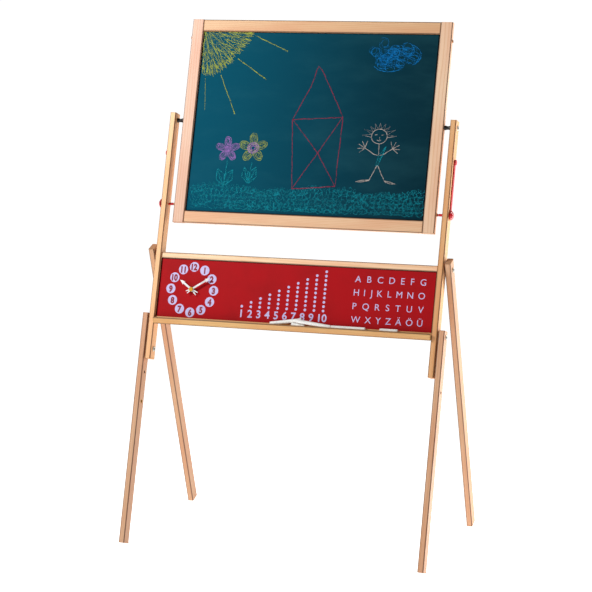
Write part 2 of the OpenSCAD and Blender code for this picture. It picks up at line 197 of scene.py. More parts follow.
SETTINGS = {
    "easel_timber": TimberSettings, "easel_boards": BoardSettings, "easel_drawings": DrawingSettings,
    "easel_panel": PanelSettings, "easel_hardware": HardwareSettings, "easel_stage": StageSettings,
}


# ------------------------------------------------------------------ materials


class Value:
    """A number or vector that varies over a surface. Arithmetic on it adds Math nodes."""

    def __init__(self, finish, socket):
        self.finish = finish
        self.socket = socket

    def _do(self, operation, *values):
        """One Math node on the values."""
        return self.finish.add("ShaderNodeMath", {"operation": operation}, dict(enumerate(values)))

    def __add__(self, other):
        return self._do("ADD", self, other)

    def __sub__(self, other):
        return self._do("SUBTRACT", self, other)

    def __rsub__(self, other):
        return self._do("SUBTRACT", other, self)

    def __mul__(self, other):
        return self._do("MULTIPLY", self, other)

    def __pow__(self, other):
        return self._do("POWER", self, other)

    def __rpow__(self, other):
        return self._do("POWER", other, self)

    def __abs__(self):
        return self._do("ABSOLUTE", self)

    __radd__ = __add__
    __rmul__ = __mul__

    def sine(self):
        return self._do("SINE", self)

    def root(self):
        return self._do("SQRT", self)

    def least(self, other):
        return self._do("MINIMUM", self, other)

    def ramp(self, low, high, start=0.0, end=1.0):
        """Smooth step from start to end as the value goes from low to high."""
        return self.finish.add("ShaderNodeMapRange", {"interpolation_type": "SMOOTHSTEP"}, {
            "Value": self, "From Min": low, "From Max": high, "To Min": start, "To Max": end})


class Finish:
    """A material under construction."""

    def __init__(self, name):
        self.material = bpy.data.materials.new(name)
        self.material.use_nodes = True
        self.tree = self.material.node_tree
        self.tree.nodes.clear()
        shader = self.add("ShaderNodeBsdfPrincipled")
        self.shader = shader.socket.node
        self.add("ShaderNodeOutputMaterial", None, {"Surface": shader})
        self.here = self.add("ShaderNodeTexCoord", output="Object")

    def add(self, kind, options=None, sockets=None, output=0):
        """A node of a kind, with its options set first, then its sockets set or linked."""
        node = self.tree.nodes.new(kind)
        for key, value in (options or {}).items():
            setattr(node, key, value)
        for key, value in (sockets or {}).items():
            self.feed(node.inputs[key], value)
        return Value(self, node.outputs[output]) if node.outputs else None

    def feed(self, socket, value):
        """Links a value to a socket, or sets the socket to a number or colour."""
        if isinstance(value, Value):
            self.tree.links.new(value.socket, socket)
        elif socket.type == "RGBA":
            socket.default_value = (*value, 1)
        else:
            socket.default_value = value

    def surface(self, **sockets):
        """Feeds the shader's sockets, named with underscores for spaces."""
        for key, value in sockets.items():
            self.feed(self.shader.inputs[key.replace("_", " ")], value)
        return self

    def split(self, vector):
        """The three coordinates of a vector."""
        first = self.add("ShaderNodeSeparateXYZ", None, {0: vector})
        return [Value(self, out) for out in first.socket.node.outputs]

    def join(self, x, y, z):
        """A vector of three coordinates."""
        return self.add("ShaderNodeCombineXYZ", None, {0: x, 1: y, 2: z})

    def mapped(self, **changes):
        """The object's coordinates, moved, turned or stretched."""
        return self.add("ShaderNodeMapping", {"vector_type": "POINT"}, {"Vector": self.here, **changes})

    def lath_coordinates(self, tilt, centre):
        """Coordinates along a tilted part's own axes, from its middle."""
        return self.split(self.mapped(Location=-centre, Rotation=(tilt, 0, 0)))

    def off_axis(self, point):
        """Distance from the line that runs across the easel through a point."""
        _, y, z = self.split(self.here)
        return ((y - point[1]) * (y - point[1]) + (z - point[2]) * (z - point[2])).root()

    def noise(self, vector, scale, detail, rough=0.5):
        """Even noise between nought and one."""
        return self.add("ShaderNodeTexNoise", {"noise_dimensions": "3D"},
                        {"Vector": vector, "Scale": scale, "Detail": detail, "Roughness": rough})

    def blend(self, first, second, amount):
        """Colour between two others."""
        return self.add("ShaderNodeMix", {"data_type": "RGBA"}, {0: amount, 6: first, 7: second}, 2)

    def bump(self, height, depth):
        """Normal of a surface that is rough to a depth in metres."""
        return self.add("ShaderNodeBump", None, {"Height": height, "Distance": depth, "Strength": 1.0})


def paint(target, finish):
    """Gives an object one material."""
    target.data.materials.clear()
    target.data.materials.append(finish.material)


def settings(name):
    """The user's settings of one group."""
    return getattr(bpy.context.scene, name)


def lath_axes(node, tilt):
    """Centre, half sizes and long axis of a part, along its own axes, which are tilted about X."""
    turn = Matrix.Rotation(tilt, 3, "X")
    points = [turn @ vertex.co for vertex in NODES[node].data.vertices]
    low = Vector([min(p[i] for p in points) for i in range(3)])
    high = Vector([max(p[i] for p in points) for i in range(3)])
    half = (high - low) / 2
    return (low + high) / 2, half, max(range(3), key=lambda i: half[i])


def tint(base, tone):
    """A colour multiplied by a tone."""
    return tuple(min(1.0, part * t) for part, t in zip(base, tone))


def timber_finish(node, tilt, tone, seed, ends, heart):
    """Varnished pine for one lath, with growth rings round a pith that lies outside it.

    ends is how dark its ends are: darker end grain, and on rails also painted gap shadow where they meet the
    upright parts. heart is how much painted shade darkens its right side.
    """
    wood = settings("easel_timber")
    chance = random.Random(seed)
    finish = Finish("timber_" + node)
    centre, half, along = lath_axes(node, tilt)
    axes = finish.lath_coordinates(tilt, centre)
    run = axes[along]
    first, second = [axes[i] for i in range(3) if i != along]
    wide, deep = [half[i] for i in range(3) if i != along]
    shift = chance.uniform(-9, 9)
    stretched = finish.join(run * 2.2 + shift, first * 16, second * 16)
    drift = finish.noise(stretched, 1.0, 2.0) - 0.5
    pith_first = chance.choice((-1, 1)) * chance.uniform(0.012, 0.05)
    pith_second = chance.choice((-1, 1)) * chance.uniform(0.02, 0.06)
    off_first = first - pith_first + run * chance.uniform(-0.02, 0.02)
    off_second = second - pith_second
    radius = (off_first * off_first + off_second * off_second).root() + drift * 0.011
    rings = ((radius * (2 * math.pi / wood.ring)).sine() * 0.5 + 0.5) ** 2.2
    fibre = finish.noise(finish.join(run * 14 + shift, first * 620, second * 620), 1.0, 3.0, 0.6)
    pores = finish.noise(finish.join(run * 60, first * 1500, second * 1500), 1.0, 1.0)
    broad = finish.noise(finish.join(run * 5 - shift, first * 30, second * 30), 1.0, 2.0)
    ground = finish.blend(tint(wood.early, tone), tint(wood.blush, tone), broad.ramp(0.35, 0.68))
    dark = rings * wood.ring_strength + (fibre - 0.5) * 0.7 + pores.ramp(0.62, 0.78) * 0.16
    ground = finish.blend(ground, tint(wood.late, tone), dark.ramp(0.0, 1.0))
    # Painted shade on the right (+X) face.
    ground = finish.blend(ground, tint(wood.late, tint(tone, (0.72, 0.62, 0.5))),
                          axes[0].ramp(half.x - 0.0007, half.x - 0.0002) * heart)
    # Painted shade: all four long edges of the lath darken.
    rim = 3 * MM
    edge = abs(first).ramp(wide - rim, wide - 0.4 * rim) * abs(second).ramp(deep - rim, deep - 0.4 * rim)
    ground = finish.blend(ground, tint(wood.edge, tone), edge * wood.edge_strength)
    # Darker end grain; on rails it is also painted gap shadow at their joints.
    end_grain_and_gap_shade = abs(run).ramp(half[along] - 0.0018, half[along] - 0.0006)
    ground = finish.blend(ground, tint(wood.end, tone), end_grain_and_gap_shade * ends)
    # Painted shade inside the spare height hole of each front leg.
    if node.startswith("front_leg"):
        hole = finish.off_axis(SPARE_HOLE).ramp(0.0036, 0.0032)
        ground = finish.blend(ground, tint(wood.edge, (0.05, 0.05, 0.05)), hole)
    height = fibre * 0.5 + rings * 0.25 + pores * 0.25
    finish.surface(Base_Color=ground, Roughness=fibre.ramp(0.2, 0.8, 0.38, 0.52) + end_grain_and_gap_shade * 0.3,
                   Normal=finish.bump(height, 0.00012), Specular_IOR_Level=0.4)
    return finish


def moulded_finish(name, base, rough, grain=0.00003, coat=0.0):
    """Moulded plastic or rubber with a fine spark-eroded grain."""
    finish = Finish(name)
    fine = finish.noise(finish.here, 1600, 2.0)
    cloud = finish.noise(finish.here, 60, 2.0)
    shade = finish.blend(base, tint(base, (0.72, 0.7, 0.7)), cloud.ramp(0.3, 0.75))
    return finish.surface(Base_Color=shade, Roughness=fine.ramp(0.2, 0.8, rough - 0.05, rough + 0.1),
                          Normal=finish.bump(fine, grain), Coat_Weight=coat, Coat_Roughness=0.1)


def metal_finish(name, base, rough, axis=None, socket=0.0):
    """Plated metal with turning marks and dull patches. Bolts get painted shade on their axis, standing for the
    inside of their socket.
    """
    finish = Finish(name)
    marks = finish.noise(finish.mapped(Scale=(3000, 500, 500)), 1.0, 2.0)
    dull = finish.noise(finish.here, 220, 3.0)
    shade = finish.blend(base, tint(base, (0.6, 0.58, 0.55)), dull.ramp(0.45, 0.8))
    if axis:
        shade = finish.blend(shade, SOCKET_SHADE, finish.off_axis(axis).ramp(socket, socket * 0.85))
    return finish.surface(Base_Color=shade, Metallic=1.0, Normal=finish.bump(marks, 0.00002),
                          Roughness=dull.ramp(0.3, 0.8, rough - 0.08, rough + 0.18))


# ------------------------------------------------------------------ shapes


def new_piece(name, mesh, body):
    """An object for a finished mesh. It rides on a body, if one is given."""
    piece = bpy.data.objects.new(name, mesh)
    bpy.context.scene.collection.objects.link(piece)
    if body:
        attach(piece, body)
    return piece


def face_axes(node, centre):
    """Matrix from a flat drawing to the front face of a node: X across, Y up the face, Z out of it."""
    level = max(vertex.co.dot(OUT) for vertex in NODES[node].data.vertices)
    origin = centre + OUT * (level - centre.dot(OUT))
    origin.x = 0
    return Matrix.Translation(origin) @ Matrix((ACROSS, UP, OUT)).transposed().to_4x4()


def curve_mesh(curve):
    """Mesh of a curve or text, which is then thrown away."""
    carrier = bpy.data.objects.new("carrier", curve)
    bpy.context.scene.collection.objects.link(carrier)
    bpy.context.view_layer.update()
    mesh = bpy.data.meshes.new_from_object(carrier.evaluated_get(bpy.context.evaluated_depsgraph_get()))
    bpy.data.objects.remove(carrier)
    bpy.data.curves.remove(curve)
    return mesh


class Lettering:
    """Flat printed shapes, collected in one mesh in the face's own axes."""

    def __init__(self, weight):
        self.weight = weight
        self.shapes = bmesh.new()
        mesh = self.glyph("H")
        self.capital = max(v.co.y for v in mesh.vertices)
        bpy.data.meshes.remove(mesh)

    def glyph(self, text):
        """Text of size 1, half a unit thick to either side, that starts at x = 0."""
        curve = bpy.data.curves.new("glyph", "FONT")
        curve.body = text
        curve.extrude = 0.5
        curve.offset = self.weight
        curve.resolution_u = 4
        mesh = curve_mesh(curve)
        mesh.transform(Matrix.Translation((-min(v.co.x for v in mesh.vertices), 0, 0)))
        return mesh

    def measure(self, text, height):
        """Width of text whose capitals have a height."""
        mesh = self.glyph(text)
        width = max(v.co.x for v in mesh.vertices)
        bpy.data.meshes.remove(mesh)
        return width * height / self.capital

    def write(self, text, x, y, height, low, high, squeeze=1.0):
        """Text whose middle is at x and whose capitals are centred on y."""
        mesh = self.glyph(text)
        width = max(v.co.x for v in mesh.vertices)
        scale = height / self.capital
        mesh.transform(Matrix.Translation((x, y - height / 2, (low + high) / 2))
                       @ Matrix.Diagonal((scale * squeeze, scale, high - low, 1))
                       @ Matrix.Translation((-width / 2, 0, 0)))
        self.shapes.from_mesh(mesh)
        bpy.data.meshes.remove(mesh)

    def dot(self, x, y, radius, low, high, sides):
        """A round spot."""
        bmesh.ops.create_cone(self.shapes, cap_ends=True, segments=sides, radius1=radius, radius2=radius,
                              depth=high - low, matrix=Matrix.Translation((x, y, (low + high) / 2)))

    def finish(self, name, place):
        """The mesh of all the shapes, put in its place."""
        mesh = bpy.data.meshes.new(name)
        self.shapes.to_mesh(mesh)
        self.shapes.free()
        mesh.transform(place)
        return mesh


class Chalk:
    """Chalk lines of one colour, drawn in millimetres from the middle of the board."""

    def __init__(self, name, width, seed):
        self.curve = bpy.data.curves.new(name, "CURVE")
        self.curve.dimensions = "3D"
        self.curve.bevel_depth = width / 2
        self.curve.bevel_resolution = 0
        self.curve.use_fill_caps = True
        self.chance = random.Random(seed)
        self.width = width

    def line(self, points, wobble, step, weight):
        """A stroke through the points, with a hand's small wobble."""
        dots = [points[0]]
        for (x0, y0), (x1, y1) in zip(points, points[1:]):
            parts = max(1, round(math.hypot(x1 - x0, y1 - y0) / step))
            for k in range(1, parts + 1):
                shake = wobble if k < parts else wobble * 0.5
                dots.append((x0 + (x1 - x0) * k / parts + self.chance.uniform(-shake, shake),
                             y0 + (y1 - y0) * k / parts + self.chance.uniform(-shake, shake)))
        spline = self.curve.splines.new("POLY")
        spline.points.add(len(dots) - 1)
        for point, (x, y) in zip(spline.points, dots):
            point.co = (x * MM, y * MM, 0, 1)
            point.radius = weight * self.chance.uniform(0.75, 1.15)

    def arc(self, x, y, rx, ry, start, end, wobble, weight, turn=0.0):
        """A stroke along an ellipse, from one angle to another, with the ellipse itself turned."""
        steps = max(5, round(abs(math.radians(end - start)) * max(rx, ry) / 4))
        c, s = math.cos(turn), math.sin(turn)
        path = []
        for k in range(steps + 1):
            a = math.radians(start + (end - start) * k / steps)
            u, v = rx * math.cos(a), ry * math.sin(a)
            path.append((x + u * c - v * s, y + u * s + v * c))
        self.line(path, wobble, 50, weight)

    def finish(self, place, relief):
        """The mesh of all the lines, flattened to a thickness and put in its place."""
        flat = Matrix.Diagonal((1, 1, relief / self.width, 1))
        name = self.curve.name
        mesh = curve_mesh(self.curve)
        mesh.name = name
        mesh.transform(place @ flat)
        return mesh


def chalk_finish(name, base, grip):
    """Chalk that has caught only on the tooth of the board, where the noise is above a grip."""
    finish = Finish(name)
    tooth = finish.noise(finish.here, 900, 2.0, 0.7)
    smear = finish.noise(finish.here, 130, 2.0)
    shade = finish.blend(base, tint(base, (0.75, 0.78, 0.8)), tooth.ramp(0.35, 0.7))
    cover = (tooth * 0.6 + smear * 0.4).ramp(grip - 0.12, grip + 0.08, 0.12, 1.0)
    return finish.surface(Base_Color=shade, Alpha=cover, Roughness=0.95, Normal=finish.bump(tooth, 0.00008),
                          Specular_IOR_Level=0.1)


# ------------------------------------------------------------------ operators


class EASEL_OT_timber(bpy.types.Operator):
    """Finish the laths, board frame, tray and dowels"""
    bl_idname = "easel.timber"
    bl_label = "Timber"

    # whether each lath leans with the front frame, stands as a rear leg or is level, and its tone
    laths = {
        "post_left": ("leaf", (1.10, 1.03, 0.84)), "post_right": ("leaf", (0.97, 0.82, 0.58)),
        "front_leg_left": ("leaf", (0.80, 0.72, 0.68)), "front_leg_right": ("leaf", (0.90, 0.80, 0.74)),
        "rear_leg_left": ("rear", (0.74, 0.62, 0.53)), "rear_leg_right": ("rear", (0.76, 0.65, 0.57)),
        "panel_top_rail": ("leaf", (1.16, 1.20, 1.18)), "chalk_tray": ("level", (0.84, 0.74, 0.46)),
        "board_stile_left": ("leaf", (0.88, 0.84, 0.94)), "board_stile_right": ("leaf", (1.0, 1.02, 1.06)),
        "board_rail_top": ("leaf", (0.84, 0.76, 0.64)), "board_rail_bottom": ("leaf", (0.94, 0.88, 0.82)),
        "board_dowels": ("leaf", (0.85, 0.75, 0.65)), "catch_bushes": ("leaf", (0.86, 0.72, 0.6)),
    }
    first_seed = 11

    def execute(self, context):
        corners = NODES["rear_leg_left"].data.vertices
        toe = min(corners, key=lambda v: v.co.z).co
        heel = max(corners, key=lambda v: v.co.y).co
        spread = math.atan2(heel.z - toe.z, heel.y - toe.y)
        tilts = {"leaf": LEAN, "rear": -spread, "level": 0.0}
        for number, (node, (stance, tone)) in enumerate(self.laths.items()):
            # Rails get painted gap shadow at their ends; other laths only darker end grain.
            ends = 0.85 if "rail" in node else 0.3
            # Painted shade on the right-hand faces of the left post and left front leg.
            heart = 0.5 if node in ("post_left", "front_leg_left") else 0.0
            seed = self.first_seed + number
            paint(NODES[node], timber_finish(node, tilts[stance], tone, seed, ends, heart))
        return {"FINISHED"}


class EASEL_OT_boards(bpy.types.Operator):
    """Finish the chalkboard and the whiteboard"""
    bl_idname = "easel.boards"
    bl_label = "Boards"

    def execute(self, context):
        board = settings("easel_boards")
        paint(NODES["chalkboard"], self.chalkboard_finish(board))
        paint(NODES["whiteboard"], self.whiteboard_finish(board))
        return {"FINISHED"}

    def chalkboard_finish(self, board):
        """Matt paint with a film of old chalk, painted shade that darkens it towards the right, and painted shade
        in the recess along the frame's opening.
        """
        finish = Finish("chalkboard_paint")
        across = finish.split(finish.here)[0]
        # Painted shade: darker towards the right of the board.
        ground = finish.blend(board.chalkboard, board.chalkboard_far, across.ramp(-0.30, 0.34))
        wiped = finish.noise(finish.mapped(Rotation=(0, 0.6, 0), Scale=(5, 5, 16)), 1.0, 4.0, 0.6)
        tooth = finish.noise(finish.here, 1100, 2.0, 0.7)
        dust = wiped.ramp(0.42, 0.75) * (tooth * 0.8 + 0.4) * board.dust_strength
        ground = finish.blend(ground, board.dust, dust)
        # Painted shade in the recess inside the frame's opening, wider beside the stiles than under the rails.
        centre, half, _ = lath_axes("board_rail_top", LEAN)
        middle, _, _ = lath_axes("chalkboard", LEAN)
        x, _, z = finish.lath_coordinates(LEAN, middle)
        side, top = -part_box("board_stile_left")[1].x, centre.z - half.z - middle.z
        joint = abs(x).ramp(side - 0.0044, side - 0.0022) + abs(z).ramp(top - 0.0026, top - 0.0008)
        ground = finish.blend(ground, board.joint, joint.least(1.0))
        return finish.surface(Base_Color=ground, Roughness=dust + 0.72, Normal=finish.bump(tooth, 0.00006),
                              Specular_IOR_Level=0.05)

    def whiteboard_finish(self, board):
        """Gloss lacquer with faint traces of wiped writing."""
        finish = Finish("whiteboard_lacquer")
        ghost = finish.noise(finish.here, 9, 3.0)
        ripple = finish.noise(finish.here, 130, 1.0)
        ground = finish.blend(board.whiteboard, tint(board.whiteboard, (0.93, 0.94, 0.96)),
                              ghost.ramp(0.45, 0.75))
        return finish.surface(Base_Color=ground, Roughness=ghost.ramp(0.3, 0.7, 0.12, 0.22),
                              Normal=finish.bump(ripple, 0.00003), Coat_Weight=0.5, Coat_Roughness=0.08)


class EASEL_OT_drawings(bpy.types.Operator):
    """Draw a garden in chalk on the chalkboard"""
    bl_idname = "easel.drawings"
    bl_label = "Chalk drawings"

    # how much of the board's tooth each chalk misses
    grips = {"sun": 0.5, "bloom": 0.48, "grass": 0.5, "house": 0.46, "figure": 0.47, "cloud": 0.49}
    first_seed = 40

    def sun(self, chalk):
        """A quarter sun in the corner, filled with zigzags, and its rays."""
        corner = (-284, 221)
        rim = ((-153, 219), (-157, 206), (-170, 175), (-197, 151), (-211, 127), (-234, 112), (-254, 104),
               (-281, 106))

        def point(along, reach):
            """A point at a share of the way along the rim and of the way out to it."""
            k = min(int(along * (len(rim) - 1)), len(rim) - 2)
            part = along * (len(rim) - 1) - k
            return [c + (p + (q - p) * part - c) * reach for c, p, q in zip(corner, rim[k], rim[k + 1])]

        for low, high, count, weight in ((0.15, 0.6, 11, 0.5), (0.5, 1.0, 25, 0.55), (0.8, 1.0, 44, 0.6)):
            path = []
            for k in range(count + 1):
                along = min(1, max(0, (k + chalk.chance.uniform(-0.5, 0.5)) / count))
                path.append(point(along, (high if k % 2 else low) + chalk.chance.uniform(-0.06, 0.0)))
            chalk.line(path, 1.6, 9, weight)
        for ring in range(11):
            reach, path = 0.12 + 0.08 * ring, []
            for k in range(25):
                zigzag = 0.045 if k % 2 else -0.045
                path.append(point(k / 24, reach + zigzag + chalk.chance.uniform(-0.04, 0.02)))
            chalk.line(path, 1.2, 9, 0.45)
        for start, end, weight in (((-156, 205), (-73, 169), 0.7), ((-194, 150), (-118, 101), 0.8),
                                   ((-232, 110), (-188, 19), 0.7), ((-270, 101), (-263, 26), 0.35)):
            chalk.line([start, end], 0.6, 7, weight)

    def flower(self, chalk, x, y, size, turn, heart=None, core=0.26):
        """Five scribbled petals, and a heart in the same or another chalk."""
        for k in range(5):
            a = math.radians(turn + 72 * k)
            px, py = x + size * 0.62 * math.cos(a), y + size * 0.62 * math.sin(a)
            chalk.arc(px, py, size * 0.41, size * 0.27, 180, 590, 1.2, 0.55, a)
            chalk.arc(px, py, size * 0.30, size * 0.17, 0, 420, 1.4, 0.5, a + 0.1)
            chalk.arc(px, py, size * 0.30, size * 0.07, 0, 400, 1.4, 0.45, a - 0.12)
        for reach in (1.0, 0.72, 0.4):
            (heart or chalk).arc(x, y, size * core * reach, size * core * reach * 0.9, 0, 700, 1.7, 0.62)

    def leaves(self, chalk, stem, foot, left, right):
        """A stem between two pointed leaves."""
        chalk.line([stem, foot], 0.8, 7, 0.95)
        for tip in (left, right):
            dx, dy = tip[0] - foot[0], tip[1] - foot[1]
            for bulge in (-0.28, 0.28):
                middle = (foot[0] + dx * 0.5 - dy * bulge, foot[1] + dy * 0.5 + dx * bulge)
                chalk.line([foot, middle, tip], 0.6, 7, 0.95)
            chalk.line([foot, tip], 1.6, 4, 0.75)
            chalk.line([(foot[0] + dx * 0.2, foot[1]), (tip[0] - dx * 0.1, tip[1] - dy * 0.2)], 2.0, 4, 0.7)

    def grass(self, chalk):
        """Overlapping rows of small curls, the upper ones on a wavy line."""
        chance = chalk.chance
        for floor, size, swell in ((-199, 7, 0), (-191, 10, 0), (-181, 12, 0), (-170, 11, 2), (-160, 9, 4),
                                   (-154, 7, 6)):
            x, turn, path = -276.0, 0.0, []
            while x < 279:
                wave = swell * (math.sin(x / 41 + 0.5) + 0.5 * math.sin(x / 13))
                reach = size * chance.uniform(0.5, 1.15)
                px, py = x + reach * math.cos(turn), floor + wave + reach * math.sin(turn)
                path.append((max(-283, min(283, px)), max(-209, min(-143, py))))
                turn += chance.uniform(0.7, 1.5)
                x += chance.uniform(0.8, 2.8)
                if chance.random() < 0.03 and len(path) > 1:
                    chalk.line(path, 0.4, 30, chance.uniform(0.4, 0.95) * (0.85 + 0.2 * math.sin(x / 60 + 2)))
                    path = []
                    x += chance.uniform(-4, 10)
            if len(path) > 1:
                chalk.line(path, 0.4, 30, 0.5)

    def house(self, chalk):
        """Walls with crossed braces under a pointed roof."""
        eaves = ((-45, 9), (75, 17))
        base = ((-31, -152), (72, -143))
        chalk.line([eaves[0], base[0], base[1], eaves[1], eaves[0]], 0.7, 9, 0.54)
        chalk.line([eaves[0], (-8, 88), (5, 135), (14, 127), (40, 82), (62, 43), eaves[1]], 0.7, 9, 0.54)
        chalk.line([eaves[0], (23, -67), base[1]], 0.7, 9, 0.5)
        chalk.line([eaves[1], (23, -67), base[0]], 0.7, 9, 0.5)
        chalk.line([base[0], base[1]], 1.0, 9, 0.5)

    def figure(self, pale, dress):
        """A child with wild hair."""
        x, y = 165.5, -24.5
        pale.arc(x, y, 18.5, 17, 80, 450, 0.6, 0.6)
        crown = []
        for k in range(19):
            a = math.radians(-8 + 196 * k / 18)
            reach = pale.chance.uniform(32, 36) if k % 2 else 19
            if k in (1, 3, 15, 17):
                reach = 41
            crown.append((x + reach * math.cos(a), y + reach * 0.93 * math.sin(a)))
        pale.line(crown, 0.3, 60, 0.5)
        for side in (-1, 1):
            pale.line([(x + side * 8 - 3, y + 3), (x + side * 8 + 3, y + 4)], 0.2, 7, 0.5)
            hand = (166.5 + side * 32, -52)
            shoulder = (168 + side * 2, -68)
            pale.line([shoulder, (shoulder[0] + side * 9, -66), hand], 0.4, 7, 0.55)
            for spread in (-40, -5, 30, 65, 105):
                a = math.radians(90 - side * (90 - spread))
                pale.line([hand, (hand[0] + 18 * math.cos(a), hand[1] + 17 * math.sin(a))], 0.3, 9, 0.5)
        pale.line([(x + 1, y - 2), (x + 1, y - 7)], 0.2, 7, 0.4)
        pale.arc(x, y - 7, 5, 3, 200, 340, 0.2, 0.45)
        pale.line([(166.5, -42), (168, -68)], 0.3, 7, 0.55)
        pale.line([(167, -90), (151, -125), (135, -126), (119, -130), (134, -130), (151, -126)], 0.4, 7, 0.6)
        pale.line([(167, -90), (187, -126), (200, -128), (214, -132), (199, -132), (187, -127)], 0.4, 7, 0.6)
        dress.line([(184, -47), (168, -70), (162, -90), (168, -92), (176, -70), (184, -47)], 0.5, 6, 0.75)
        for k in range(9):
            lift = -52 - 4.6 * k
            dress.line([(178 - 1.7 * k, lift), (184 - 1.9 * k, lift - 3)], 0.8, 7, 0.7)

    def cloud(self, chalk):
        """Four lobes full of curls."""
        chance = chalk.chance
        for cx, cy, rx, ry, curls in ((156, 170, 35, 33, 16), (204, 164, 43, 30, 20), (174, 148, 38, 24, 14),
                                      (180, 162, 46, 26, 14)):
            for k in range(curls):
                a = chance.uniform(0, 2 * math.pi)
                reach = chance.uniform(0.3, 0.72)
                size = chance.uniform(0.22, 0.34)
                start = chance.uniform(0, 360)
                chalk.arc(cx + rx * reach * math.cos(a), cy + ry * reach * math.sin(a), rx * size, ry * size,
                          start, start + chance.uniform(200, 460), 1.1, chance.uniform(0.3, 0.5),
                          chance.uniform(-0.5, 0.5))
        chalk.arc(208, 164, 38, 26, -60, 70, 1.0, 0.7)
        chalk.arc(172, 144, 36, 19, 200, 330, 1.0, 0.7)

    def execute(self, context):
        pens = settings("easel_drawings")
        place = face_axes("chalkboard", Vector(JOINTS["board_turn"]["pos_m"]))
        chalks = {}
        for number, name in enumerate(self.grips):
            chalks[name] = Chalk("chalk_" + name, pens.line, self.first_seed + number)
        self.sun(chalks["sun"])
        self.flower(chalks["bloom"], -196, -65, 29, 92)
        self.flower(chalks["sun"], -134, -60, 34, 92, chalks["bloom"], 0.4)
        self.leaves(chalks["grass"], (-194, -92), (-197, -150), (-216, -112), (-179, -113))
        self.leaves(chalks["grass"], (-133, -94), (-139, -143), (-151, -106), (-122, -105))
        self.grass(chalks["grass"])
        self.house(chalks["house"])
        self.figure(chalks["figure"], chalks["grass"])
        self.cloud(chalks["cloud"])
        for name, chalk in chalks.items():
            piece = new_piece("chalk_" + name, chalk.finish(place, pens.relief), "flip_board")
            paint(piece, chalk_finish("chalk_line_" + name, getattr(pens, name), self.grips[name]))
        return {"FINISHED"}


class EASEL_OT_panel(bpy.types.Operator):
    """Print the clock, the counting dots and the alphabet on the learning panel"""
    bl_idname = "easel.panel"
    bl_label = "Learning panel"

    # Places are in millimetres across from the panel's middle and up from the clock's middle.
    # Each row has its letters, its left and right ends, and its height.
    rows = (("ABCDEFG", 142, 306.5, 45.1), ("HIJKLMNO", 141.5, 306.5, 14.5), ("PQRSTUV", 141.5, 306, -16.3),
            ("WXYZÄÖÜ", 140.5, 306, -46.3))
    first_column = -121.3
    column_step = 21.65
    number_step = 20.95
    number_height = -47.6
    first_dot = -31.5
    dot_step = 9.9

    # bottom and top of the ink, in metres from the panel's face
    low = -0.00006
    high = 0.00006

    def clock(self, style, ink, numerals, middle):
        """A ring of twelve discs with the hours on them."""
        for hour in range(1, 13):
            a = math.radians(90 - 30 * hour)
            x, y = middle + style.ring * math.cos(a), style.ring * math.sin(a)
            ink.dot(x, y, style.disc, self.low, self.high, 40)
            numerals.write(str(hour), x, y, style.figure, self.low, self.high * 2, 0.86)

    def counting_columns(self, style, ink, digits):
        """Columns of one dot to ten, each with its number below."""
        for k in range(style.columns):
            x = (self.first_column + self.column_step * k) * MM
            last = k == style.columns - 1
            label = x if last else (self.first_column + self.number_step * k) * MM
            digits.write(str(k + 1), label, self.number_height * MM, style.number, self.low, self.high)
            for dot in range(k + 1):
                ink.dot(x, (self.first_dot + self.dot_step * dot) * MM, style.dot, self.low, self.high, 16)

    def alphabet(self, style, ink):
        """Rows of capitals, spread evenly between the row's ends."""
        for letters, first, last, y in self.rows:
            widths = [ink.measure(letter, style.capital) for letter in letters]
            gap = ((last - first) * MM - sum(widths)) / (len(letters) - 1)
            x = first * MM
            for letter, width in zip(letters, widths):
                ink.write(letter, x + width / 2, y * MM, style.capital, self.low, self.high)
                x += width + gap

    def execute(self, context):
        style = settings("easel_panel")
        centre = Vector(JOINTS["hour_turn"]["pos_m"])
        place = face_axes("learning_panel", centre)
        ink = Lettering(0.0)
        digits = Lettering(0.02)
        numerals = Lettering(0.055)
        self.clock(style, ink, numerals, centre.x)
        self.counting_columns(style, ink, digits)
        self.alphabet(style, ink)
        self.printed("panel_print", ink, place, style.ink, 0.32)
        self.printed("panel_numbers", digits, place, style.ink, 0.32)
        self.printed("clock_numerals", numerals, place, style.numeral, 0.38)
        paint(NODES["learning_panel"], self.lacquer(style))
        return {"FINISHED"}

    def lacquer(self, style):
        """Red lacquer with a faint orange peel, and painted shadow along the posts and under the top rail."""
        finish = Finish("panel_lacquer")
        cloud = finish.noise(finish.here, 14, 3.0)
        peel = finish.noise(finish.here, 500, 2.0)
        ground = finish.blend(style.ground, tint(style.ground, (0.86, 0.8, 0.8)), cloud.ramp(0.35, 0.75))
        # Painted shadow that the posts and the top rail cast on the recessed panel.
        middle, half, _ = lath_axes("learning_panel", LEAN)
        x, _, z = finish.lath_coordinates(LEAN, middle)
        joint = abs(x).ramp(half.x - 0.0034, half.x - 0.0016) + z.ramp(half.z - 0.0064, half.z - 0.0048)
        ground = finish.blend(ground, tint(style.ground, (0.06, 0.3, 0.3)), joint.least(1.0))
        return finish.surface(Base_Color=ground, Roughness=cloud.ramp(0.3, 0.7, 0.36, 0.46),
                              Normal=finish.bump(peel, 0.00003), Specular_IOR_Level=0.08)

    def printed(self, name, letters, place, base, rough):
        """A piece of finished lettering in screen ink."""
        piece = new_piece(name, letters.finish(name, place), "front_frame")
        finish = Finish(name + "_ink")
        speck = finish.noise(finish.here, 700, 2.0)
        cloud = finish.noise(finish.here, 40, 2.0)
        shade = finish.blend(base, tint(base, (0.88, 0.86, 0.9)), (speck * 0.5 + cloud * 0.5).ramp(0.4, 0.7))
        finish.surface(Base_Color=shade, Roughness=speck.ramp(0.2, 0.8, rough, rough + 0.1),
                       Normal=finish.bump(speck, 0.00002))
        paint(piece, finish)


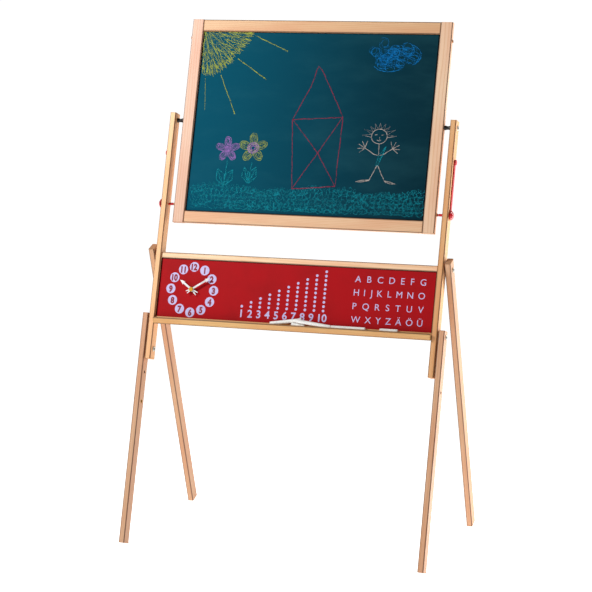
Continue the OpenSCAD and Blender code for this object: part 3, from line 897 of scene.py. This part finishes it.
class EASEL_OT_hardware(bpy.types.Operator):
    """Finish the bolts, bushes, spacers, clock hands and their axle"""
    bl_idname = "easel.hardware"
    bl_label = "Hardware"

    def execute(self, context):
        metal = settings("easel_hardware")
        zinc = metal_finish("zinc_plate", metal.zinc, 0.3)
        for node in ("leg_washers", "clock_nut"):
            paint(NODES[node], zinc)
        for node in ("leg_upper_bolts", "leg_lower_bolts", "rear_pivot_bolts", "board_pivot_bolts",
                     "strap_screws"):
            low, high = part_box(node)
            paint(NODES[node], metal_finish("zinc_" + node, metal.zinc, 0.3, (low + high) / 2, metal.socket))
        brass = metal_finish("turned_brass", metal.brass, 0.26)
        for node in ("rail_insert_nuts", "pivot_bushes"):
            paint(NODES[node], brass)
        paint(NODES["leg_insert_nuts"], metal_finish("dull_brass", tint(metal.brass, (0.6, 0.5, 0.5)), 0.4))
        black = moulded_finish("black_nylon", metal.black, 0.42)
        for node in ("rear_pivot_washers", "pivot_spacer_left", "pivot_spacer_right"):
            paint(NODES[node], black)
        hand = moulded_finish("hand_white", metal.hand, 0.3, coat=0.2)
        for node in ("hour_hand", "minute_hand"):
            paint(NODES[node], hand)
        self.axle(metal)
        return {"FINISHED"}

    def axle(self, metal):
        """The clock's axle is black, with a brass cap over the hands."""
        finish = Finish("clock_axle")
        x, y, z = finish.split(finish.here)
        reach = max(v.co.dot(OUT) for v in NODES["clock_spindle"].data.vertices)
        cap = (x * OUT.x + y * OUT.y + z * OUT.z).ramp(reach - 0.0026, reach - 0.0024)
        fine = finish.noise(finish.here, 1500, 2.0)
        finish.surface(Base_Color=finish.blend(metal.black, metal.brass, cap), Metallic=cap * 0.4,
                       Roughness=fine.ramp(0.2, 0.8, 0.25, 0.4), Normal=finish.bump(fine, 0.00002))
        paint(NODES["clock_spindle"], finish)


class EASEL_OT_locks(bpy.types.Operator):
    """Make the red straps of the lock pins, and finish the pins"""
    bl_idname = "easel.locks"
    bl_label = "Locks"

    def strap(self, side, body, thick):
        """A strap with an eye round the pin and a button over its screw.

        It is made with X across the easel, Y up the strap from the eye, and the post's side at X = 0.
        """
        low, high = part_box("lock_strap_" + side)
        pin_low, pin_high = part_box("lock_pin_" + side)
        screw_low, screw_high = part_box("strap_screws")
        outward = -1 if side == "left" else 1
        eye, button = (pin_low + pin_high) / 2, (screw_low + screw_high) / 2
        eye.x = button.x = high.x if side == "left" else low.x
        reach = (button - eye).dot(UP)
        boss, boss_radius = high.x - low.x, 6 * MM
        eye_radius, eye_width = 5.9 * MM, 5 * MM
        bar_width, bar_start = 10 * MM, 6.5 * MM
        shape = bmesh.new()
        ring = bmesh.ops.create_circle(shape, cap_ends=False, segments=4, radius=thick * 0.7071,
                                       matrix=Matrix.Rotation(math.radians(45), 4, "Z"))["verts"]
        for vertex in ring:
            x, y = vertex.co.x + outward * thick / 2, eye_radius + vertex.co.y / thick * eye_width
            vertex.co = Vector((x, y, 0))
        bmesh.ops.spin(shape, geom=ring + list(shape.edges), cent=(0, 0, 0), axis=(1, 0, 0),
                       angle=2 * math.pi, steps=40, use_merge=True)
        bmesh.ops.create_cone(shape, cap_ends=True, segments=40, radius1=boss_radius, radius2=boss_radius,
                              depth=boss, matrix=Matrix.Translation((outward * boss / 2, reach, 0))
                              @ Matrix.Rotation(math.pi / 2, 4, "Y"))
        bar = bmesh.ops.create_cube(shape, size=1.0, matrix=Matrix.Translation(
            (outward * thick / 2, (reach + bar_start) / 2, 0))
            @ Matrix.Diagonal((thick * 0.96, reach - bar_start, bar_width, 1)))["verts"]
        sides = [e for e in shape.edges if e.verts[0] in bar and e.verts[1] in bar
                 and abs(e.verts[0].co.y - e.verts[1].co.y) > bar_width]
        bmesh.ops.subdivide_edges(shape, edges=sides, cuts=30, use_grid_fill=True)
        rims = [e for e in shape.edges if len(e.link_faces) == 2 and e.calc_face_angle(0) > 1.0]
        bmesh.ops.bevel(shape, geom=rims, offset=0.5 * MM, segments=2, profile=0.5, affect="EDGES",
                        material=-1)
        bmesh.ops.remove_doubles(shape, verts=shape.verts, dist=1e-6)
        bmesh.ops.recalc_face_normals(shape, faces=shape.faces)
        mesh = bpy.data.meshes.new("strap_" + side)
        shape.to_mesh(mesh)
        shape.free()
        mesh.transform(Matrix.Translation(eye) @ Matrix((ACROSS, UP, OUT)).transposed().to_4x4())
        piece = new_piece("strap_" + side, mesh, None)
        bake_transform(piece)
        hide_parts("lock_strap_" + side)
        return piece

    def execute(self, context):
        parts = settings("easel_hardware")
        rubber = moulded_finish("strap_rubber", parts.strap, 0.45, 0.00005)
        for side, body in (("left", "lock_l"), ("right", "lock_r")):
            paint(self.strap(side, body, parts.strap_thickness), rubber)
        knob = moulded_finish("knob_plastic", parts.knob, 0.24, 0.00002, 0.4)
        for node in ("lock_pin_left", "lock_pin_right"):
            paint(NODES[node], knob)
        return {"FINISHED"}


class EASEL_OT_chalk(bpy.types.Operator):
    """Finish the sticks of chalk on the tray"""
    bl_idname = "easel.chalk"
    bl_label = "Sticks of chalk"

    def execute(self, context):
        finish = Finish("chalk_stick")
        powder = finish.noise(finish.here, 1200, 3.0, 0.7)
        rubbed = finish.noise(finish.here, 180, 2.0)
        base = settings("easel_hardware").chalk
        shade = finish.blend(base, tint(base, (0.84, 0.85, 0.86)), rubbed.ramp(0.45, 0.75))
        finish.surface(Base_Color=shade, Roughness=powder.ramp(0.2, 0.8, 0.85, 1.0),
                       Normal=finish.bump(powder * 0.6 + rubbed * 0.4, 0.00012), Specular_IOR_Level=0.15)
        paint(NODES["chalk_sticks"], finish)
        return {"FINISHED"}


class EASEL_OT_stage(bpy.types.Operator):
    """Set the floor, the lights and the camera"""
    bl_idname = "easel.stage"
    bl_label = "Stage"

    def lamp(self, name, place, target, size, power):
        """An upright soft box, wide by high, that looks at a point."""
        light = bpy.data.lights.new(name, "AREA")
        light.energy = power
        light.shape = "RECTANGLE"
        light.size, light.size_y = size
        lamp = bpy.data.objects.new(name, light)
        lamp.location = place
        lamp.visible_camera = False
        lamp.rotation_euler = (Vector(target) - lamp.location).to_track_quat("-Z", "Y").to_euler()
        bpy.context.scene.collection.objects.link(lamp)

    def execute(self, context):
        stage = settings("easel_stage")
        scene = context.scene
        ground = bmesh.new()
        bmesh.ops.create_circle(ground, cap_ends=True, segments=64, radius=150)
        mesh = bpy.data.meshes.new("floor")
        ground.to_mesh(mesh)
        ground.free()
        floor = bpy.data.objects.new("floor", mesh)
        scene.collection.objects.link(floor)
        finish = Finish("floor_paint")
        speck = finish.noise(finish.here, 3, 2.0)
        shade = finish.blend(stage.floor, tint(stage.floor, (0.98, 0.98, 0.98)), speck)
        finish.surface(Base_Color=shade, Roughness=0.8, Specular_IOR_Level=0.2, Emission_Color=(1, 1, 1),
                       Emission_Strength=stage.glow)
        paint(floor, finish)
        world = bpy.data.worlds.new("studio")
        world.use_nodes = True
        sky = world.node_tree.nodes["Background"]
        sky.inputs["Color"].default_value = (1, 1, 1, 1)
        sky.inputs["Strength"].default_value = stage.sky
        scene.world = world
        self.lamp("key_light", (-1.5, -1.1, 2.05), (0, 0, 0.75), (0.36, 0.36), stage.key)
        self.lamp("side_light", (0.85, 0.4, 0.62), (0.3, 0, 0.62), (0.2, 1.3), stage.side)
        scene.view_settings.view_transform = "Standard"
        view = bpy.data.cameras.new("camera")
        view.sensor_width = 36
        view.lens = stage.lens
        view.clip_end = 400
        camera = bpy.data.objects.new("camera", view)
        camera.location = stage.stand
        camera.rotation_euler = stage.aim
        scene.collection.objects.link(camera)
        scene.camera = camera
        return {"FINISHED"}


OPERATORS = (EASEL_OT_timber, EASEL_OT_boards, EASEL_OT_drawings, EASEL_OT_panel, EASEL_OT_hardware,
             EASEL_OT_locks, EASEL_OT_chalk, EASEL_OT_stage)


class EASEL_PT_builder(bpy.types.Panel):
    """Sizes, colours and building steps of the easel"""
    bl_label = "Easel"
    bl_space_type = "VIEW_3D"
    bl_region_type = "UI"
    bl_category = "Easel"

    def draw(self, context):
        for operator in OPERATORS:
            self.layout.operator(operator.bl_idname)
        for name, group in SETTINGS.items():
            box = self.layout.box()
            box.label(text=group.__doc__)
            for prop in group.__annotations__:
                box.prop(getattr(context.scene, name), prop)


CLASSES = tuple(SETTINGS.values()) + OPERATORS + (EASEL_PT_builder,)


def register():
    """Add the settings, operators and panel."""
    for item in CLASSES:
        bpy.utils.register_class(item)
    for name, group in SETTINGS.items():
        setattr(bpy.types.Scene, name, PointerProperty(type=group))


def unregister():
    """Take the settings, operators and panel away."""
    for name in SETTINGS:
        delattr(bpy.types.Scene, name)
    for item in reversed(CLASSES):
        bpy.utils.unregister_class(item)


def main():
    register()
    bpy.ops.easel.stage()
    bpy.ops.easel.timber()
    bpy.ops.easel.boards()
    bpy.ops.easel.drawings()
    bpy.ops.easel.panel()
    bpy.ops.easel.hardware()
    bpy.ops.easel.locks()
    bpy.ops.easel.chalk()


if __name__ == "__main__":
    main()
